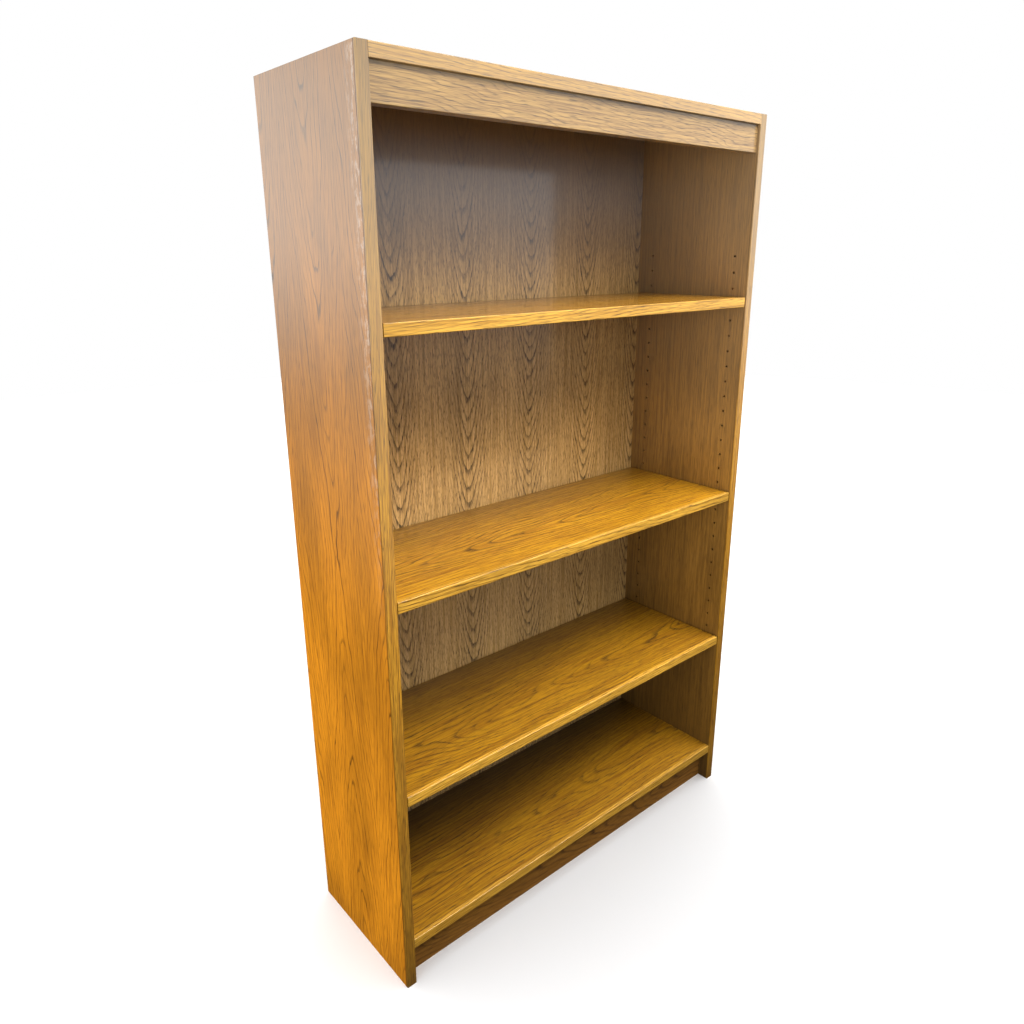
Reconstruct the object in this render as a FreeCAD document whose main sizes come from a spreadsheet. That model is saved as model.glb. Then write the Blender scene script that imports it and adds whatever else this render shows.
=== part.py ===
import FreeCAD, Part
import os
import Sketcher

# A free-standing bookcase: two oak-veneered sides standing on the floor, a top board, a header
# rail and a kick board between them, a fixed bottom shelf, a back panel let into rabbets, and three
# loose shelves, each lying on four steel angle supports plugged into rows of pin holes.
#
# Frame: +Z up, +X to the right and +Y to the back, seen from in front. The origin is on the floor,
# in the middle of the width and of the depth. Millimetres.

DRIVING_SIZES = [
    ("case_width", 900, "outside, over both sides"),
    ("case_depth", 294, "front plane to the rear edges of the sides"),
    ("case_height", 1500, "floor to the top face"),
    ("board", 19, "thickness of sides, top, bottom and shelves"),
    ("side_lipping", 3, "oak edging on the sides, front to back"),
    ("board_lipping", 8, "oak edging on top, bottom and shelves, front to back"),
    ("arris", 1, "radius of the eased front arrises"),
    ("back_thickness", 6, "back panel"),
    ("back_recess", 1, "back panel to the rear edges of the sides"),
    ("back_lap", 9.5, "how far each rabbet reaches into its side"),
    ("back_play", 0.5, "back panel to the end of each rabbet"),
    ("back_floor_gap", 25, "floor to the lower edge of the back panel"),
    ("header_height", 50, "header rail under the top board"),
    ("header_thickness", 19, "header rail, front to back"),
    ("header_setback", 6, "header rail behind the front plane"),
    ("kick_height", 75, "kick board and base rail, up to the bottom shelf"),
    ("kick_thickness", 19, "kick board, front to back"),
    ("kick_setback", 26, "kick board behind the front plane"),
    ("rail_thickness", 19, "base rail, front to back"),
    ("bottom_setback", 2, "bottom shelf behind the front plane"),
    ("shelf_setback", 2, "loose shelves behind the front plane"),
    ("shelf_end_gap", 2.5, "each end of a loose shelf to its side"),
    ("shelf_back_gap", 3, "loose shelf to the back panel"),
    ("pin_hole", 5, "diameter of the shelf pin holes"),
    ("pin_hole_depth", 11, "depth of the shelf pin holes"),
    ("pin_pitch", 32, "pin hole to pin hole, upwards"),
    ("pin_count", 29, "pin holes in a row"),
    ("pin_first", 343, "floor to the lowest pin hole"),
    ("pin_front_inset", 35, "front plane to the front row"),
    ("pin_back_inset", 38, "back panel to the rear row"),
    ("upper_step", 25, "pin hole that carries the upper shelf, the lowest being 0"),
    ("middle_step", 12, "pin hole that carries the middle shelf"),
    ("lower_step", 1, "pin hole that carries the lower shelf"),
    ("support_sheet", 1.2, "thickness of a support's plate and seat"),
    ("support_width", 14, "support, front to back"),
    ("support_seat", 13, "support's seat, out from the side"),
    ("support_rise", 7, "plate above the pin's centre"),
    ("support_drop", 3, "seat below the pin's centre"),
    ("support_corner", 3, "radius of the seat's free corners"),
    ("pin_length", 9, "support's pin, into the side"),
    ("pin_play", 0.05, "radial play of a pin in its hole"),
    ("dowel", 8, "diameter of the joint dowels"),
    ("dowel_in_side", 11, "dowel's reach into a side"),
    ("dowel_in_board", 21, "dowel's reach into the piece between the sides"),
    ("dowel_play", 0.05, "radial play of a dowel, and half its spare depth"),
    ("dowel_front", 45, "front plane to the front dowels of a board"),
    ("dowel_back", 52, "rear edges of the sides to the rear dowels of a board"),
    ("rail_dowel_inset", 14, "rail's upper and lower edge to its dowels"),
    ("block", 40, "legs of a glue block behind the kick board"),
    ("block_inset", 190, "inside of a side to the middle of the outer glue blocks"),
    ("nail", 1.6, "diameter of the back panel's nails"),
    ("nail_length", 22, "nail under its head"),
    ("nail_head", 4, "diameter of a nail's head"),
    ("nail_head_height", 0.8, "thickness of a nail's head"),
    ("nail_play", 0.05, "radial play of a nail in the wood"),
    ("nail_margin", 35, "inside of a side to the first nail across a board"),
    ("nail_side_count", 11, "nails up each side, from the bottom shelf to the top board"),
    ("nail_board_count", 7, "nails across each board"),
]

# Lengths and places that several pieces share, as expressions on the sheet.
INNER_WIDTH = "(Sizes.case_width - 2 * Sizes.board)"
FRONT = "(-Sizes.case_depth / 2)"
BACK_FACE = "(Sizes.case_depth - Sizes.back_recess - Sizes.back_thickness)"
SIDE_DEPTH = "(Sizes.case_depth - Sizes.side_lipping)"
TOP_UNDERSIDE = "(Sizes.case_height - Sizes.board)"
TOP_MIDDLE = "(Sizes.case_height - Sizes.board / 2)"
BOTTOM_MIDDLE = "(Sizes.kick_height + Sizes.board / 2)"
SHELF_LENGTH = f"({INNER_WIDTH} - 2 * Sizes.shelf_end_gap)"
SHELF_DEPTH = f"({BACK_FACE} - Sizes.shelf_setback - Sizes.shelf_back_gap)"
REAR_ROW = f"({BACK_FACE} - Sizes.pin_back_inset)"
DOWEL_HOLE = "(Sizes.dowel + 2 * Sizes.dowel_play)"
NAIL_HOLE = "(Sizes.nail + 2 * Sizes.nail_play)"
NAIL_DEPTH = "(Sizes.nail_length - Sizes.back_thickness + 1)"
BOARD_NAIL_SPAN = f"({INNER_WIDTH} - 2 * Sizes.nail_margin)"
SIDE_NAIL_SPAN = f"({TOP_MIDDLE} - {BOTTOM_MIDDLE})"
PANEL_HEIGHT = "(Sizes.case_height - Sizes.back_floor_gap)"
KICK_FRONT = "Sizes.kick_setback"
RAIL_FRONT = f"({BACK_FACE} - Sizes.rail_thickness)"

# Heights, from the front plane and the floor, of the dowels that hold each piece to a side.
BOARD_DOWEL_ROWS = [
    "Sizes.dowel_front",
    "(Sizes.dowel_front + Sizes.case_depth - Sizes.dowel_back) / 2",
    "(Sizes.case_depth - Sizes.dowel_back)",
]
RAIL_DOWEL_HEIGHTS = ["Sizes.rail_dowel_inset", "(Sizes.kick_height - Sizes.rail_dowel_inset)"]
HEADER_DOWEL_HEIGHTS = [
    f"({TOP_UNDERSIDE} - Sizes.header_height + Sizes.rail_dowel_inset)",
    f"({TOP_UNDERSIDE} - Sizes.rail_dowel_inset)",
]

SHELVES = ["upper", "middle", "lower"]

doc = FreeCAD.newDocument("bookcase")
sheet = doc.addObject("Spreadsheet::Sheet", "Sizes")
for line, (alias, value, meaning) in enumerate(DRIVING_SIZES, start=1):
    sheet.set(f"A{line}", alias)
    sheet.set(f"B{line}", str(value))
    sheet.setAlias(f"B{line}", alias)
    sheet.set(f"C{line}", meaning)
doc.recompute()

pieces = []


def place(piece, across, back, up):
    """Binds a piece's place: across from the middle, back from the middle, up from the floor."""
    piece.setExpression("Placement.Base.x", across)
    piece.setExpression("Placement.Base.y", back)
    piece.setExpression("Placement.Base.z", up)


def add_body(label, across, back, up):
    body = doc.addObject("PartDesign::Body", label)
    body.Label = label
    place(body, across, back, up)
    pieces.append(body)
    return body


def add_sketch(body, plane, name, offset="0"):
    """A sketch on one of the body's own planes, moved along the plane's normal by offset."""
    sketch = body.newObject("Sketcher::SketchObject", f"{body.Name}_{name}")
    support = [item for item in body.Origin.OriginFeatures if item.Role == plane][0]
    sketch.AttachmentSupport = (support, [""])
    sketch.MapMode = "FlatFace"
    if offset != "0":
        sketch.setExpression("AttachmentOffset.Base.z", offset)
    return sketch


def bind(sketch, constraint, name, size):
    index = sketch.addConstraint(constraint)
    sketch.renameConstraint(index, name)
    sketch.setExpression(f"Constraints.{name}", size)


def draw_rectangle(sketch, width, height, left="0", bottom="0"):
    """A rectangle whose lower left corner is on the sketch's origin or off it by left and bottom."""
    corners = [(1, 1), (2, 1), (2, 2), (1, 2)]
    points = [FreeCAD.Vector(x, y, 0) for x, y in corners]
    first = sketch.GeometryCount
    for start, end in zip(points, points[1:] + points[:1]):
        sketch.addGeometry(Part.LineSegment(start, end))
    for side in range(4):
        sketch.addConstraint(
            Sketcher.Constraint("Coincident", first + side, 2, first + (side + 1) % 4, 1)
        )
        direction = "Horizontal" if side % 2 == 0 else "Vertical"
        sketch.addConstraint(Sketcher.Constraint(direction, first + side))
    tie_point(sketch, first, 1, left, bottom)
    bind(sketch, Sketcher.Constraint("DistanceX", first, 1, first, 2, 1), f"width{first}", width)
    bind(
        sketch, Sketcher.Constraint("DistanceY", first + 1, 1, first + 1, 2, 1),
        f"height{first}", height,
    )


def tie_point(sketch, geometry, point, across, up):
    """Holds a point at a distance from the sketch's origin, or on its axis where that is 0."""
    if across == "0":
        sketch.addConstraint(Sketcher.Constraint("PointOnObject", geometry, point, -2))
    else:
        constraint = Sketcher.Constraint("DistanceX", -1, 1, geometry, point, 1)
        bind(sketch, constraint, f"across{geometry}", across)
    if up == "0":
        sketch.addConstraint(Sketcher.Constraint("PointOnObject", geometry, point, -1))
    else:
        constraint = Sketcher.Constraint("DistanceY", -1, 1, geometry, point, 1)
        bind(sketch, constraint, f"up{geometry}", up)


def draw_circle(sketch, diameter, across, up):
    circle = Part.Circle(FreeCAD.Vector(1, 1, 0), FreeCAD.Vector(0, 0, 1), 1)
    geometry = sketch.addGeometry(circle)
    bind(sketch, Sketcher.Constraint("Diameter", geometry, 2), f"diameter{geometry}", diameter)
    tie_point(sketch, geometry, 3, across, up)


def pad(body, sketch, length, reverse=False, midplane=False):
    feature = body.newObject("PartDesign::Pad", f"{sketch.Name}_pad")
    feature.Profile = sketch
    feature.setExpression("Length", length)
    feature.Reversed = reverse
    feature.Midplane = midplane
    body.Tip = feature
    doc.recompute()
    return feature


def pocket(body, sketch, depth, reverse=False):
    """Cuts the sketch into the body and makes sure that it did take material away."""
    before = body.Shape.Volume
    feature = body.newObject("PartDesign::Pocket", f"{sketch.Name}_pocket")
    feature.Profile = sketch
    feature.setExpression("Length", depth)
    feature.Reversed = reverse
    body.Tip = feature
    doc.recompute()
    if body.Shape.Volume >= before:
        raise RuntimeError(f"{feature.Name} cuts nothing")
    return feature


def repeat(body, feature, axis, span, count):
    """Repeats a feature along one of the body's own axes, count times over the span."""
    pattern = body.newObject("PartDesign::LinearPattern", f"{feature.Name}_row")
    pattern.Originals = [feature]
    direction = [item for item in body.Origin.OriginFeatures if item.Role == axis][0]
    pattern.Direction = (direction, [""])
    pattern.setExpression("Length", span)
    pattern.setExpression("Occurrences", count)
    body.Tip = pattern
    doc.recompute()
    return pattern


def ease(body, wanted, radius):
    """Rounds the edges of the body's tip that the function wanted picks, by their end points."""
    tip = body.Tip
    names = []
    for number, edge in enumerate(tip.Shape.Edges, start=1):
        ends = [vertex.Point for vertex in edge.Vertexes]
        if len(ends) == 2 and wanted(*ends):
            names.append(f"Edge{number}")
    feature = body.newObject("PartDesign::Fillet", f"{body.Name}_eased{len(body.Group)}")
    feature.Base = (tip, names)
    feature.setExpression("Radius", radius)
    body.Tip = feature
    doc.recompute()


def add_board(label, width, depth, height, across, back, up):
    """A board with its lower left front corner on its own origin, along X, Y and Z."""
    body = add_body(label, across, back, up)
    outline = add_sketch(body, "XY_Plane", "outline")
    draw_rectangle(outline, width, depth)
    pad(body, outline, height)
    return body


def drill_ends(body, length, centres):
    """Dowel holes in both ends of a board, at centres (back, up) from the board's corner."""
    depth = "(Sizes.dowel_in_board + Sizes.dowel_play)"
    for name, offset, reverse in (("left_end", "0", True), ("right_end", length, False)):
        holes = add_sketch(body, "YZ_Plane", name, offset)
        for back, up in centres:
            draw_circle(holes, DOWEL_HOLE, back, up)
        pocket(body, holes, depth, reverse)


def nail_rear_edge(body, depth, up):
    """A row of nail holes in the rear edge of a board."""
    holes = add_sketch(body, "XZ_Plane", "nails", f"-{depth}")
    draw_circle(holes, NAIL_HOLE, "Sizes.nail_margin", up)
    feature = pocket(body, holes, NAIL_DEPTH, reverse=True)
    repeat(body, feature, "X_Axis", BOARD_NAIL_SPAN, "Sizes.nail_board_count")


def dowel_seats():
    """Where each piece between the sides is dowelled: back from the front plane, up from the floor."""
    header_middle = "(Sizes.header_setback + Sizes.header_thickness / 2)"
    kick_middle = f"({KICK_FRONT} + Sizes.kick_thickness / 2)"
    rail_middle = f"({RAIL_FRONT} + Sizes.rail_thickness / 2)"
    return {
        "top_board": [(back, TOP_MIDDLE) for back in BOARD_DOWEL_ROWS],
        "header_rail": [(header_middle, up) for up in HEADER_DOWEL_HEIGHTS],
        "bottom_shelf": [(back, BOTTOM_MIDDLE) for back in BOARD_DOWEL_ROWS],
        "kick_board": [(kick_middle, up) for up in RAIL_DOWEL_HEIGHTS],
        "base_rail": [(rail_middle, up) for up in RAIL_DOWEL_HEIGHTS],
    }


def add_side(label, sign):
    """A side with its inner face on its own YZ plane: sign is -1 for the left side, 1 for the right."""
    leftward = sign < 0
    inner_face = f"{sign} * {INNER_WIDTH} / 2"
    body = add_body(label, inner_face, f"{FRONT} + Sizes.side_lipping", "0")
    outline = add_sketch(body, "YZ_Plane", "outline")
    draw_rectangle(outline, SIDE_DEPTH, "Sizes.case_height")
    pad(body, outline, "Sizes.board", reverse=leftward)

    rabbet_depth = "(Sizes.back_thickness + Sizes.back_recess)"
    rabbet = add_sketch(body, "YZ_Plane", "rabbet")
    draw_rectangle(rabbet, rabbet_depth, "Sizes.case_height", f"{SIDE_DEPTH} - {rabbet_depth}")
    pocket(body, rabbet, "Sizes.back_lap", reverse=not leftward)

    for name, back in (("front_row", "Sizes.pin_front_inset"), ("rear_row", REAR_ROW)):
        hole = add_sketch(body, "YZ_Plane", name)
        draw_circle(hole, "Sizes.pin_hole", f"{back} - Sizes.side_lipping", "Sizes.pin_first")
        feature = pocket(body, hole, "Sizes.pin_hole_depth", reverse=not leftward)
        span = "Sizes.pin_pitch * (Sizes.pin_count - 1)"
        repeat(body, feature, "Z_Axis", span, "Sizes.pin_count")

    dowels = add_sketch(body, "YZ_Plane", "dowels")
    for seats in dowel_seats().values():
        for back, up in seats:
            draw_circle(dowels, DOWEL_HOLE, f"{back} - Sizes.side_lipping", up)
    dowel_depth = "(Sizes.dowel_in_side + Sizes.dowel_play)"
    pocket(body, dowels, dowel_depth, reverse=not leftward)

    nails = add_sketch(body, "XZ_Plane", "nails", f"-({SIDE_DEPTH} - {rabbet_depth})")
    draw_circle(nails, NAIL_HOLE, f"{sign} * Sizes.back_lap / 2", BOTTOM_MIDDLE)
    feature = pocket(body, nails, NAIL_DEPTH, reverse=True)
    repeat(body, feature, "Z_Axis", SIDE_NAIL_SPAN, "Sizes.nail_side_count")


def add_side_lipping(label, sign):
    """Solid oak edging on the front of a side, with both front arrises eased."""
    left_face = f"{sign} * {INNER_WIDTH} / 2" if sign > 0 else "-Sizes.case_width / 2"
    body = add_board(
        label, "Sizes.board", "Sizes.side_lipping", "Sizes.case_height", left_face, FRONT, "0"
    )
    ease(body, lambda a, b: abs(a.y) + abs(b.y) < 1e-6 and abs(a.x - b.x) < 1e-6, "Sizes.arris")


def add_board_lipping(label, length, across, back, up):
    """Solid oak edging on the front of a board, with both front arrises eased."""
    body = add_board(label, length, "Sizes.board_lipping", "Sizes.board", across, back, up)
    ease(body, lambda a, b: abs(a.y) + abs(b.y) < 1e-6 and abs(a.z - b.z) < 1e-6, "Sizes.arris")


def add_top():
    left = f"-{INNER_WIDTH} / 2"
    depth = f"({BACK_FACE} - Sizes.board_lipping)"
    board_back = f"{FRONT} + Sizes.board_lipping"
    body = add_board("top_board", INNER_WIDTH, depth, "Sizes.board", left, board_back, TOP_UNDERSIDE)
    centres = [(f"{back} - Sizes.board_lipping", "Sizes.board / 2") for back in BOARD_DOWEL_ROWS]
    drill_ends(body, INNER_WIDTH, centres)
    nail_rear_edge(body, depth, "Sizes.board / 2")
    add_board_lipping("top_board_lipping", INNER_WIDTH, left, FRONT, TOP_UNDERSIDE)


def add_bottom():
    left = f"-{INNER_WIDTH} / 2"
    front = f"({FRONT} + Sizes.bottom_setback)"
    ahead = "(Sizes.bottom_setback + Sizes.board_lipping)"
    depth = f"({BACK_FACE} - {ahead})"
    board_back = f"{FRONT} + {ahead}"
    body = add_board(
        "bottom_shelf", INNER_WIDTH, depth, "Sizes.board", left, board_back, "Sizes.kick_height"
    )
    centres = [(f"{back} - {ahead}", "Sizes.board / 2") for back in BOARD_DOWEL_ROWS]
    drill_ends(body, INNER_WIDTH, centres)
    nail_rear_edge(body, depth, "Sizes.board / 2")
    add_board_lipping("bottom_shelf_lipping", INNER_WIDTH, left, front, "Sizes.kick_height")


def add_rail(label, thickness, height, front, up, dowel_heights):
    """A rail on edge between the sides, dowelled at both ends."""
    left = f"-{INNER_WIDTH} / 2"
    body = add_board(label, INNER_WIDTH, thickness, height, left, f"{FRONT} + {front}", up)
    drill_ends(body, INNER_WIDTH, [(f"{thickness} / 2", f"{at} - {up}") for at in dowel_heights])
    return body


def add_rails():
    header_foot = f"({TOP_UNDERSIDE} - Sizes.header_height)"
    header = add_rail(
        "header_rail", "Sizes.header_thickness", "Sizes.header_height", "Sizes.header_setback",
        header_foot, HEADER_DOWEL_HEIGHTS,
    )
    lower_front = lambda a, b: abs(a.y) + abs(b.y) < 1e-6 and abs(a.z) + abs(b.z) < 1e-6
    ease(header, lower_front, "Sizes.arris")
    kick = "Sizes.kick_thickness"
    add_rail("kick_board", kick, "Sizes.kick_height", KICK_FRONT, "0", RAIL_DOWEL_HEIGHTS)
    rail = "Sizes.rail_thickness"
    add_rail("base_rail", rail, "Sizes.kick_height", RAIL_FRONT, "0", RAIL_DOWEL_HEIGHTS)


def add_back_panel():
    """The back panel, from rabbet to rabbet, with a hole for each nail."""
    width = f"({INNER_WIDTH} + 2 * Sizes.back_lap - 2 * Sizes.back_play)"
    overlap = "(Sizes.back_lap - Sizes.back_play)"
    front = f"{FRONT} + {BACK_FACE}"
    body = add_board(
        "back_panel", width, "Sizes.back_thickness", PANEL_HEIGHT,
        f"-{width} / 2", front, "Sizes.back_floor_gap",
    )
    low_nail = f"({BOTTOM_MIDDLE} - Sizes.back_floor_gap)"
    for name, across in (
        ("left_nails", "Sizes.back_lap / 2 - Sizes.back_play"),
        ("right_nails", f"({width} - Sizes.back_lap / 2 + Sizes.back_play)"),
    ):
        holes = add_sketch(body, "XZ_Plane", name)
        draw_circle(holes, NAIL_HOLE, across, low_nail)
        feature = pocket(body, holes, "Sizes.back_thickness")
        repeat(body, feature, "Z_Axis", SIDE_NAIL_SPAN, "Sizes.nail_side_count")
    for name, up in (
        ("bottom_nails", low_nail),
        ("top_nails", f"({PANEL_HEIGHT} - Sizes.board / 2)"),
    ):
        holes = add_sketch(body, "XZ_Plane", name)
        draw_circle(holes, NAIL_HOLE, f"{overlap} + Sizes.nail_margin", up)
        feature = pocket(body, holes, "Sizes.back_thickness")
        repeat(body, feature, "X_Axis", BOARD_NAIL_SPAN, "Sizes.nail_board_count")


def carrying_height(shelf):
    """Height of the pin holes that carry a shelf."""
    return f"(Sizes.pin_first + Sizes.{shelf}_step * Sizes.pin_pitch)"


def add_shelf(shelf):
    """A loose shelf: its board and its oak front edging."""
    left = f"-{SHELF_LENGTH} / 2"
    underside = f"({carrying_height(shelf)} - Sizes.support_drop)"
    front = f"({FRONT} + Sizes.shelf_setback)"
    add_board(
        f"{shelf}_shelf", SHELF_LENGTH, f"({SHELF_DEPTH} - Sizes.board_lipping)", "Sizes.board",
        left, f"{front} + Sizes.board_lipping", underside,
    )
    add_board_lipping(f"{shelf}_shelf_lipping", SHELF_LENGTH, left, front, underside)


def add_support(shelf, hand, sign, row, back):
    """A steel angle support: plate against the side, seat under the shelf, pin in its hole.
    Its own origin is the pin's centre on the side's inner face, with the seat along its own +X."""
    across = f"{sign} * {INNER_WIDTH} / 2"
    label = f"support_{shelf}_{hand}_{row}"
    body = add_body(label, across, f"{FRONT} + {back}", carrying_height(shelf))
    if sign > 0:
        body.Placement.Rotation = FreeCAD.Rotation(FreeCAD.Vector(0, 0, 1), 180)
    half_width = "Sizes.support_width / 2"
    plate_height = "Sizes.support_rise + Sizes.support_drop + Sizes.support_sheet"
    foot = "(Sizes.support_drop + Sizes.support_sheet)"

    plate = add_sketch(body, "XZ_Plane", "plate")
    draw_rectangle(plate, "Sizes.support_sheet", plate_height, bottom=f"-{foot}")
    pad(body, plate, "Sizes.support_width", midplane=True)
    seat = add_sketch(body, "XZ_Plane", "seat")
    draw_rectangle(seat, "Sizes.support_seat", "Sizes.support_sheet", bottom=f"-{foot}")
    pad(body, seat, "Sizes.support_width", midplane=True)
    shank = add_sketch(body, "YZ_Plane", "pin")
    draw_circle(shank, "(Sizes.pin_hole - 2 * Sizes.pin_play)", "0", "0")
    pad(body, shank, "Sizes.pin_length", reverse=True)

    seat_end = float(sheet.support_seat)
    at_seat_end = lambda a, b: abs(a.x - seat_end) + abs(b.x - seat_end) < 1e-6 and a.y * b.y > 0
    ease(body, at_seat_end, "Sizes.support_corner")
    foot_height = -float(sheet.support_drop) - float(sheet.support_sheet)
    at_bend = lambda a, b: (
        abs(a.x) + abs(b.x) < 1e-6 and abs(a.z - foot_height) + abs(b.z - foot_height) < 1e-6
    )
    ease(body, at_bend, "Sizes.support_sheet * 0.9")


def add_cylinder(name, diameter, length, axis_turn, across, back, up):
    """A cylinder that starts at a point and runs along the turned Z axis."""
    cylinder = doc.addObject("Part::Cylinder", name)
    cylinder.setExpression("Radius", f"({diameter}) / 2")
    cylinder.setExpression("Height", length)
    cylinder.Placement.Rotation = axis_turn
    place(cylinder, across, back, up)
    return cylinder


def add_group(label, members):
    """Separate solids of one kind that share a node."""
    group = doc.addObject("Part::Compound", label)
    group.Label = label
    group.Links = members
    pieces.append(group)


ALONG_X = FreeCAD.Rotation(FreeCAD.Vector(0, 1, 0), 90)
FORWARD = FreeCAD.Rotation(FreeCAD.Vector(1, 0, 0), 90)


def add_dowels():
    """One node of dowels for each piece that is held between the sides."""
    length = "(Sizes.dowel_in_side + Sizes.dowel_in_board)"
    starts = (
        f"-{INNER_WIDTH} / 2 - Sizes.dowel_in_side",
        f"{INNER_WIDTH} / 2 - Sizes.dowel_in_board",
    )
    for held, seats in dowel_seats().items():
        dowels = []
        for back, up in seats:
            for start in starts:
                name = f"{held}_dowel{len(dowels)}"
                place_back = f"{FRONT} + {back}"
                dowels.append(
                    add_cylinder(name, "Sizes.dowel", length, ALONG_X, start, place_back, up)
                )
        add_group(f"{held}_dowels", dowels)


def add_nail(name, across, up):
    """A flat-headed nail through the back panel, its head on the panel's rear face."""
    panel_rear = f"{FRONT} + {BACK_FACE} + Sizes.back_thickness"
    head_rear = f"{panel_rear} + Sizes.nail_head_height"
    head = add_cylinder(
        f"{name}_head", "Sizes.nail_head", "Sizes.nail_head_height", FORWARD, across, head_rear, up
    )
    shank = add_cylinder(
        f"{name}_shank", "Sizes.nail", "Sizes.nail_length", FORWARD, across, panel_rear, up
    )
    nail = doc.addObject("Part::Fuse", name)
    nail.Base = head
    nail.Tool = shank
    return nail


def add_nails():
    """The back panel's nails: a row up each side, and one across the top and the bottom boards."""
    count = int(sheet.nail_side_count)
    step = f"{SIDE_NAIL_SPAN} / (Sizes.nail_side_count - 1)"
    side_nails = []
    for sign in (-1, 1):
        across = f"{sign} * ({INNER_WIDTH} + Sizes.back_lap) / 2"
        for number in range(count):
            up = f"{BOTTOM_MIDDLE} + {number} * {step}"
            side_nails.append(add_nail(f"side_nail{len(side_nails)}", across, up))
    add_group("back_panel_side_nails", side_nails)

    count = int(sheet.nail_board_count)
    step = f"{BOARD_NAIL_SPAN} / (Sizes.nail_board_count - 1)"
    board_nails = []
    for up in (BOTTOM_MIDDLE, TOP_MIDDLE):
        for number in range(count):
            across = f"-{INNER_WIDTH} / 2 + Sizes.nail_margin + {number} * {step}"
            board_nails.append(add_nail(f"board_nail{len(board_nails)}", across, up))
    add_group("back_panel_board_nails", board_nails)


def add_glue_blocks():
    """Three triangular blocks glued into the corner behind the kick board."""
    blocks = []
    kick_back = f"{FRONT} + {KICK_FRONT} + Sizes.kick_thickness"
    middles = (
        f"-{INNER_WIDTH} / 2 + Sizes.block_inset", "0", f"{INNER_WIDTH} / 2 - Sizes.block_inset"
    )
    for number, middle in enumerate(middles):
        left = f"{middle} - Sizes.block / 2"
        block = add_body(f"glue_block{number}", left, kick_back, "Sizes.kick_height")
        pieces.remove(block)
        outline = add_sketch(block, "YZ_Plane", "outline")
        first = FreeCAD.Vector(0, 0, 0)
        second = FreeCAD.Vector(1, 0, 0)
        third = FreeCAD.Vector(0, -1, 0)
        for start, end in ((first, second), (second, third), (third, first)):
            outline.addGeometry(Part.LineSegment(start, end))
        for side in range(3):
            outline.addConstraint(Sketcher.Constraint("Coincident", side, 2, (side + 1) % 3, 1))
        outline.addConstraint(Sketcher.Constraint("Coincident", 0, 1, -1, 1))
        outline.addConstraint(Sketcher.Constraint("PointOnObject", 1, 1, -1))
        outline.addConstraint(Sketcher.Constraint("PointOnObject", 2, 1, -2))
        bind(outline, Sketcher.Constraint("DistanceX", 0, 1, 0, 2, 1), "leg", "Sizes.block")
        bind(outline, Sketcher.Constraint("DistanceY", 2, 1, 2, 2, 1), "drop", "Sizes.block")
        pad(block, outline, "Sizes.block")
        blocks.append(block)
    add_group("glue_blocks", blocks)


def check_and_export():
    """Stops if anything failed to build, then writes one file for each piece."""
    doc.recompute()
    for item in doc.Objects:
        if "Invalid" in item.State or "Error" in item.State:
            raise RuntimeError(f"{item.Label}: {item.State}")
    for piece in pieces:
        if piece.Shape.isNull() or not piece.Shape.isValid():
            raise RuntimeError(f"{piece.Label} has no valid shape")
    os.makedirs("parts", exist_ok=True)
    for piece in pieces:
        piece.Shape.exportStep(f"parts/{piece.Label}.step")
        box = piece.Shape.BoundBox
        print(
            f"{piece.Label:28} {len(piece.Shape.Solids):3} solids "
            f"x {box.XMin:8.2f} {box.XMax:8.2f}  y {box.YMin:8.2f} {box.YMax:8.2f}  "
            f"z {box.ZMin:8.2f} {box.ZMax:8.2f}"
        )


add_side("left_side", -1)
add_side("right_side", 1)
add_side_lipping("left_side_lipping", -1)
add_side_lipping("right_side_lipping", 1)
add_top()
add_bottom()
add_rails()
add_back_panel()
for shelf_name in SHELVES:
    add_shelf(shelf_name)
    for hand_name, hand_sign in (("left", -1), ("right", 1)):
        for row_name, row_back in (("front", "Sizes.pin_front_inset"), ("rear", REAR_ROW)):
            add_support(shelf_name, hand_name, hand_sign, row_name, row_back)
add_dowels()
add_nails()
add_glue_blocks()
check_and_export()
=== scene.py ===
import math
import bpy
from mathutils import Matrix, Vector


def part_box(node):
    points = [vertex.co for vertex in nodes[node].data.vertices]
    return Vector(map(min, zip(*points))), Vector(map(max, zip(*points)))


# An oak-veneered bookcase with three loose shelves, on a white studio floor.
# Metres: +Z up, +X right and +Y back as seen from in front, the origin on the floor in the middle.

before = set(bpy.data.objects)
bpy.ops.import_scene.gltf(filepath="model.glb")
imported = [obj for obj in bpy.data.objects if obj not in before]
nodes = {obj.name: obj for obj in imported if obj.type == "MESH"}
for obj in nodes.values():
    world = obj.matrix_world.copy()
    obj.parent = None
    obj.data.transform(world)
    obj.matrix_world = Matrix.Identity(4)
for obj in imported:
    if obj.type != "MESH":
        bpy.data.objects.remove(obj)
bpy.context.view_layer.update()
print("frame:", len(nodes), "nodes")

mm = 0.001


def toLinear(code):
    # sRGB hex to the linear colour that a shader takes
    channels = [int(code[i:i + 2], 16) / 255 for i in (1, 3, 5)]
    linear = [c / 12.92 if c <= 0.04045 else ((c + 0.055) / 1.055) ** 2.4 for c in channels]
    return (*linear, 1.0)


def newMaterial(name):
    material = bpy.data.materials.new(name)
    material.use_nodes = True
    material.node_tree.nodes.clear()
    return material


def add(owner, kind, settings=None, links=None, output=0):
    # Adds one node and gives back one of its outputs, or the node itself where output is None.
    # Settings go by a property's name, or by an input's name or number; links go by the input.
    node = owner.node_tree.nodes.new("ShaderNode" + kind)
    for key, value in (settings or {}).items():
        if isinstance(key, str) and hasattr(node, key):
            setattr(node, key, value)
        else:
            node.inputs[key].default_value = value
    for key, source in (links or {}).items():
        owner.node_tree.links.new(source, node.inputs[key])
    return node if output is None else node.outputs[output]


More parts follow.
